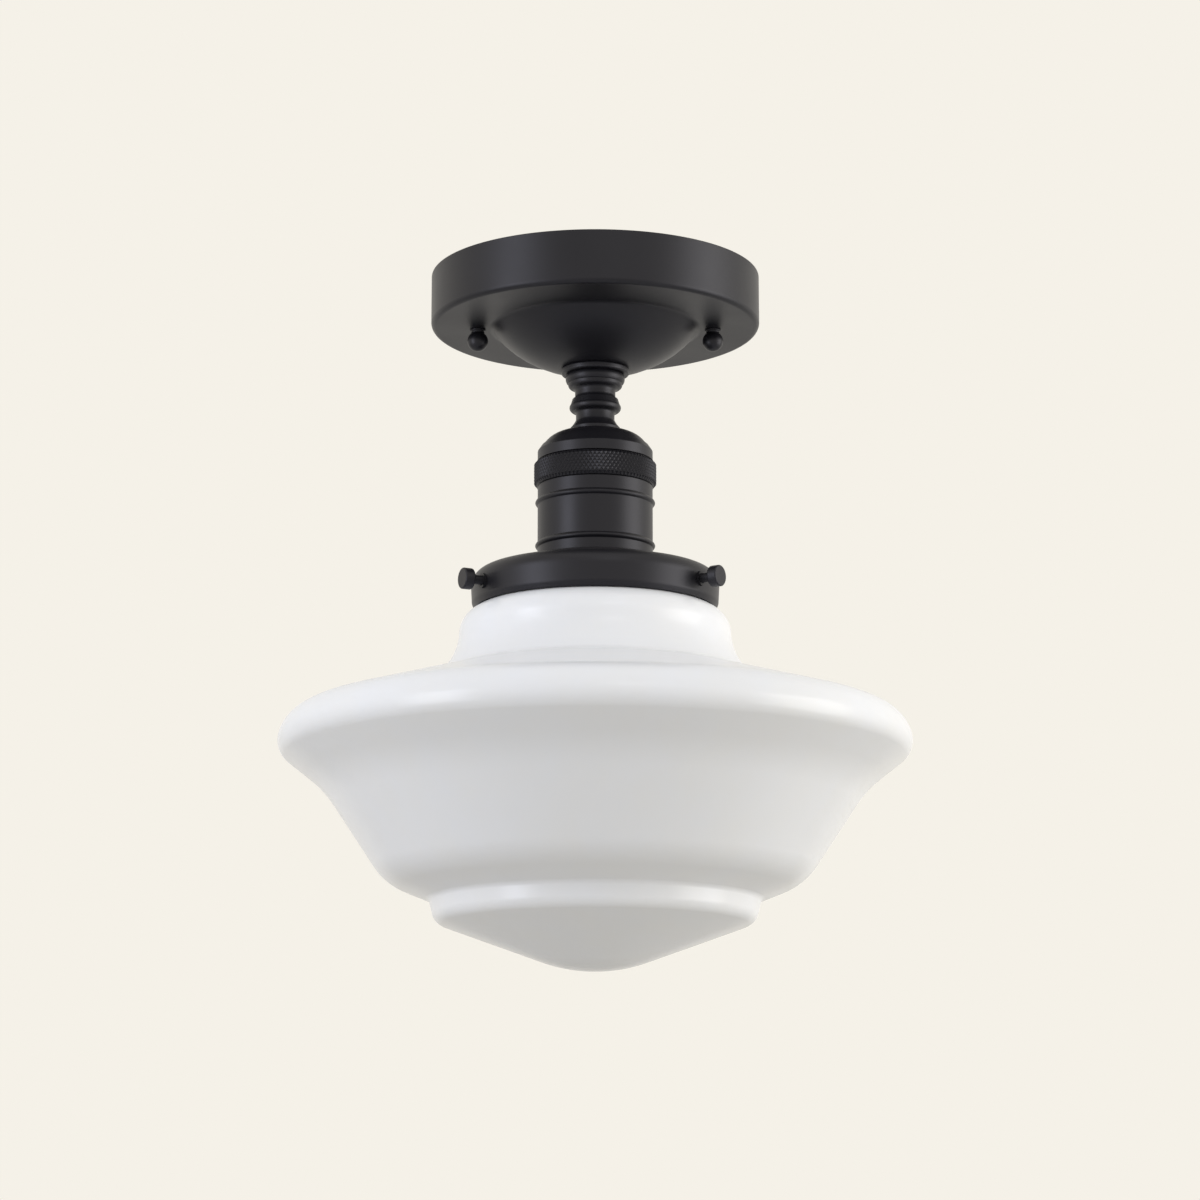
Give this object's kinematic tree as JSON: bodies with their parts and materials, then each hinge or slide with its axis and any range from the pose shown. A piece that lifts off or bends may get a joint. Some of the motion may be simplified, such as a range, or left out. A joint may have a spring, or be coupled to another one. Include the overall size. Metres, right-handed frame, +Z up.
{
  "type": "semi flush ceiling light",
  "caption": "Semi flush ceiling light: round canopy, turned stem, lamp socket and screw fitter holding a stepped opal glass shade.",
  "frame": {"origin": "the ceiling plane on the light's axis, at the canopy's open rim", "axes": "+Z up into the ceiling along the light's axis; X through the two canopy knobs; -Y faces the viewer"},
  "size_m": [0.2336, 0.2336, 0.2624],
  "materials": {
    "black_powder_coat": "satin black powder coat",
    "zinc_steel": "zinc plated steel",
    "nickel": "nickel plated",
    "brass": "bright turned brass",
    "green_screw": "green dyed ground screw",
    "porcelain": "glazed white porcelain",
    "opal_glass": "glossy opal white glass",
    "lamp_glass": "inside frosted white glass",
    "lamp_metal": "bright aluminium screw cap",
    "lamp_insulator": "black vitrite glass",
    "solder": "dull solder button"
  },
  "bodies": {
    "fixture": {"ceiling_bracket": "zinc_steel", "canopy_studs": "zinc_steel", "stud_lock_nuts": "zinc_steel", "ground_screw": "green_screw", "canopy": "black_powder_coat", "canopy_collar": "black_powder_coat", "threaded_tube": "zinc_steel", "lock_washer": "zinc_steel", "upper_tube_nut": "brass", "lower_tube_nut": "brass", "turned_stem": "black_powder_coat", "socket_cap": "black_powder_coat", "knurled_ring": "black_powder_coat", "socket_sleeve": "black_powder_coat", "fitter": "black_powder_coat", "thumbscrew_bushings": "black_powder_coat", "fitter_ring_nut": "zinc_steel", "socket_hub": "zinc_steel", "hub_screws": "zinc_steel", "socket_body": "porcelain", "terminal_screw_live": "brass", "terminal_screw_neutral": "nickel", "screw_shell": "nickel", "centre_contact": "brass"},
    "shade": {"shade": "opal_glass"},
    "thumbscrew_1": {"thumbscrew_1": "black_powder_coat"},
    "thumbscrew_2": {"thumbscrew_2": "black_powder_coat"},
    "thumbscrew_3": {"thumbscrew_3": "black_powder_coat"},
    "canopy_knob_left": {"canopy_knob_left": "black_powder_coat"},
    "canopy_knob_right": {"canopy_knob_right": "black_powder_coat"},
    "lamp": {"lamp_button": "solder", "lamp_crown": "lamp_insulator", "lamp_screw_cap": "lamp_metal", "lamp_envelope": "lamp_glass"}
  },
  "joints": [
    {"name": "shade_lower", "type": "slide", "parent": "fixture", "child": "shade", "axis": [0, 0, -1], "range_m": [0, 0.012]},
    {"name": "thumbscrew_1_back_out", "type": "slide", "parent": "fixture", "child": "thumbscrew_1", "axis": [0.0523, 0.9986, 0], "range_m": [0, 0.0055]},
    {"name": "thumbscrew_2_back_out", "type": "slide", "parent": "fixture", "child": "thumbscrew_2", "axis": [-0.891, -0.454, 0], "range_m": [0, 0.0055]},
    {"name": "thumbscrew_3_back_out", "type": "slide", "parent": "fixture", "child": "thumbscrew_3", "axis": [0.8387, -0.5446, 0], "range_m": [0, 0.0055]},
    {"name": "canopy_knob_left_unscrew", "type": "slide", "parent": "fixture", "child": "canopy_knob_left", "axis": [0, 0, -1], "range_m": [0, 0.006]},
    {"name": "canopy_knob_right_unscrew", "type": "slide", "parent": "fixture", "child": "canopy_knob_right", "axis": [0, 0, -1], "range_m": [0, 0.006]},
    {"name": "lamp_unscrew", "type": "slide", "parent": "fixture", "child": "lamp", "axis": [0, 0, -1], "range_m": [0, 0.026]}
  ],
  "couplings": [
    {"joint": "thumbscrew_1_back_out", "follows": "shade_lower", "ratio": 0.45833},
    {"joint": "thumbscrew_2_back_out", "follows": "shade_lower", "ratio": 0.45833},
    {"joint": "thumbscrew_3_back_out", "follows": "shade_lower", "ratio": 0.45833}
  ]
}
